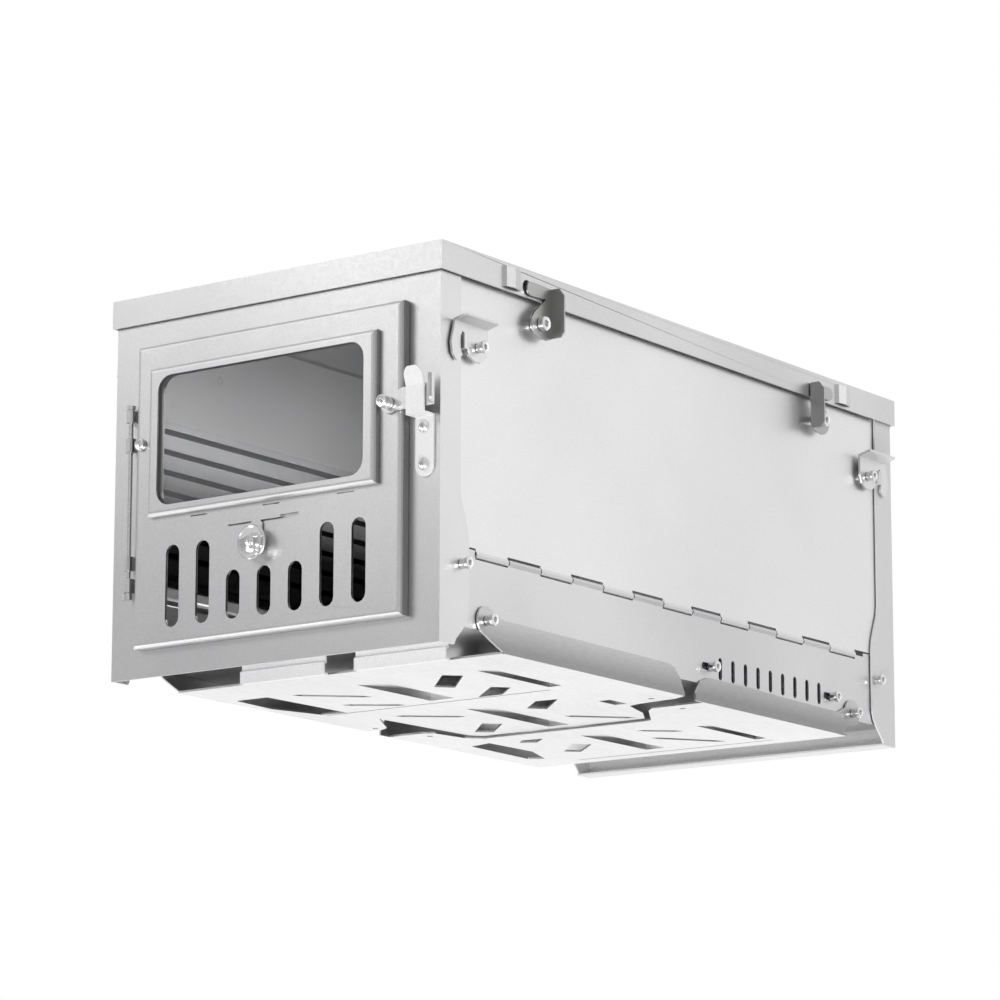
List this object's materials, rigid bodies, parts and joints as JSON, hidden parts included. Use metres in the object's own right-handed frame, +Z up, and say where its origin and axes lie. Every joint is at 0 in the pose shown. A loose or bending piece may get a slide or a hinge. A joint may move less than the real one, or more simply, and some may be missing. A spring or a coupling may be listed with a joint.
{
  "type": "folding wood stove",
  "caption": "Folding sheet-steel camp wood stove: glazed door with air damper, lift-off lid with flue collar, fold-in sides and fold-down leg plates.",
  "frame": {"origin": "centre of the bounding box in plan, at the underside of the front and rear panels", "axes": "+Z up, door faces -Y, +X is the right-hand side seen from the front"},
  "size_m": [0.222, 0.424, 0.213],
  "materials": {
    "satin_steel": "fine bead-blasted stainless sheet, folded edges brighter",
    "latch_steel": "brushed, mid grey",
    "grate_steel": "plain rolled sheet, slightly darker",
    "polished_steel": "machined and polished",
    "window_glass": "dark heat-resistant glass"
  },
  "bodies": {
    "shell": {"bottom_tray": "satin_steel", "front_panel": "satin_steel", "rear_panel": "satin_steel", "fire_grate": "grate_steel", "sill_channel_left": "satin_steel", "sill_channel_right": "satin_steel", "door_keeper": "satin_steel", "keeper_rivet_lower": "polished_steel", "keeper_rivet_upper": "polished_steel", "door_hinge_pin": "polished_steel", "hinge_pin_right": "polished_steel", "front_panel_screw_right": "polished_steel", "rear_panel_screw_right": "polished_steel", "front_leg_screw_right": "polished_steel", "rear_leg_screw_right": "polished_steel", "hinge_pin_left": "polished_steel", "front_panel_screw_left": "polished_steel", "rear_panel_screw_left": "polished_steel", "front_leg_screw_left": "polished_steel", "rear_leg_screw_left": "polished_steel"},
    "air_slide": {"vent_slide": "grate_steel", "vent_knob_front": "polished_steel", "vent_knob_rear": "polished_steel"},
    "door": {"door_panel": "satin_steel", "window_frame": "satin_steel", "window_glass": "window_glass", "glass_retainer": "satin_steel", "door_hinge_screw": "polished_steel", "latch_pivot_screw": "polished_steel"},
    "door_latch": {"latch_lever": "satin_steel"},
    "damper": {"damper_slide": "satin_steel", "damper_knob": "polished_steel"},
    "lid": {"lid_panel": "satin_steel", "flue_collar": "satin_steel"},
    "side_right": {"side_panel_right": "satin_steel", "heat_liner_right": "grate_steel", "latch_stud_front_right": "polished_steel", "hook_stud_front_right": "polished_steel", "latch_stud_rear_right": "polished_steel", "hook_stud_rear_right": "polished_steel"},
    "side_left": {"side_panel_left": "satin_steel", "heat_liner_left": "grate_steel", "latch_stud_front_left": "polished_steel", "hook_stud_front_left": "polished_steel", "latch_stud_rear_left": "polished_steel", "hook_stud_rear_left": "polished_steel"},
    "lid_latch_front_right": {"lid_latch_front_right": "latch_steel"},
    "corner_hook_front_right": {"corner_hook_front_right": "satin_steel"},
    "lid_latch_front_left": {"lid_latch_front_left": "latch_steel"},
    "corner_hook_front_left": {"corner_hook_front_left": "satin_steel"},
    "lid_latch_rear_right": {"lid_latch_rear_right": "latch_steel"},
    "corner_hook_rear_right": {"corner_hook_rear_right": "satin_steel"},
    "lid_latch_rear_left": {"lid_latch_rear_left": "latch_steel"},
    "corner_hook_rear_left": {"corner_hook_rear_left": "satin_steel"},
    "leg_front": {"leg_plate_front": "satin_steel"},
    "leg_rear": {"leg_plate_rear": "satin_steel"}
  },
  "joints": [
    {"name": "door_swing", "type": "hinge", "parent": "shell", "child": "door", "pos_m": [-0.087, -0.202, 0.088], "axis": [0, 0, -1], "range_deg": [0, 115]},
    {"name": "door_latch_turn", "type": "hinge", "parent": "door", "child": "door_latch", "pos_m": [0.0755, -0.205, 0.1145], "axis": [0, -1, 0], "range_deg": [0, 65]},
    {"name": "damper_travel", "type": "slide", "parent": "door", "child": "damper", "axis": [1, 0, 0], "range_m": [0, 0.01]},
    {"name": "side_vent_travel", "type": "slide", "parent": "shell", "child": "air_slide", "axis": [0, -1, 0], "range_m": [0, 0.0055]},
    {"name": "lid_lift_off", "type": "slide", "parent": "shell", "child": "lid", "axis": [0, 0, 1], "range_m": [0, 0.06]},
    {"name": "side_fold_right", "type": "hinge", "parent": "shell", "child": "side_right", "pos_m": [0.0976, 0.006, 0.0455], "axis": [0, -1, 0], "range_deg": [0, 84]},
    {"name": "side_fold_left", "type": "hinge", "parent": "shell", "child": "side_left", "pos_m": [-0.0976, 0.006, 0.0455], "axis": [0, 1, 0], "range_deg": [0, 96]},
    {"name": "lid_latch_turn_front_right", "type": "hinge", "parent": "side_right", "child": "lid_latch_front_right", "pos_m": [0.1031, -0.122, 0.1655], "axis": [-1, 0, 0], "range_deg": [0, 100]},
    {"name": "corner_hook_turn_front_right", "type": "hinge", "parent": "side_right", "child": "corner_hook_front_right", "pos_m": [0.1013, -0.171, 0.144], "axis": [-1, 0, 0], "range_deg": [0, 75]},
    {"name": "lid_latch_turn_front_left", "type": "hinge", "parent": "side_left", "child": "lid_latch_front_left", "pos_m": [-0.1031, -0.122, 0.1655], "axis": [-1, 0, 0], "range_deg": [0, 100]},
    {"name": "corner_hook_turn_front_left", "type": "hinge", "parent": "side_left", "child": "corner_hook_front_left", "pos_m": [-0.1013, -0.171, 0.144], "axis": [-1, 0, 0], "range_deg": [0, 75]},
    {"name": "lid_latch_turn_rear_right", "type": "hinge", "parent": "side_right", "child": "lid_latch_rear_right", "pos_m": [0.1031, 0.134, 0.1655], "axis": [1, 0, 0], "range_deg": [0, 100]},
    {"name": "corner_hook_turn_rear_right", "type": "hinge", "parent": "side_right", "child": "corner_hook_rear_right", "pos_m": [0.1013, 0.183, 0.144], "axis": [1, 0, 0], "range_deg": [0, 75]},
    {"name": "lid_latch_turn_rear_left", "type": "hinge", "parent": "side_left", "child": "lid_latch_rear_left", "pos_m": [-0.1031, 0.134, 0.1655], "axis": [1, 0, 0], "range_deg": [0, 100]},
    {"name": "corner_hook_turn_rear_left", "type": "hinge", "parent": "side_left", "child": "corner_hook_rear_left", "pos_m": [-0.1013, 0.183, 0.144], "axis": [1, 0, 0], "range_deg": [0, 75]},
    {"name": "leg_fold_front", "type": "hinge", "parent": "shell", "child": "leg_front", "pos_m": [0, -0.161, 0.015], "axis": [-1, 0, 0], "range_deg": [0, 95]},
    {"name": "leg_fold_rear", "type": "hinge", "parent": "shell", "child": "leg_rear", "pos_m": [0, 0.1665, 0.0132], "axis": [1, 0, 0], "range_deg": [0, 95]}
  ]
}
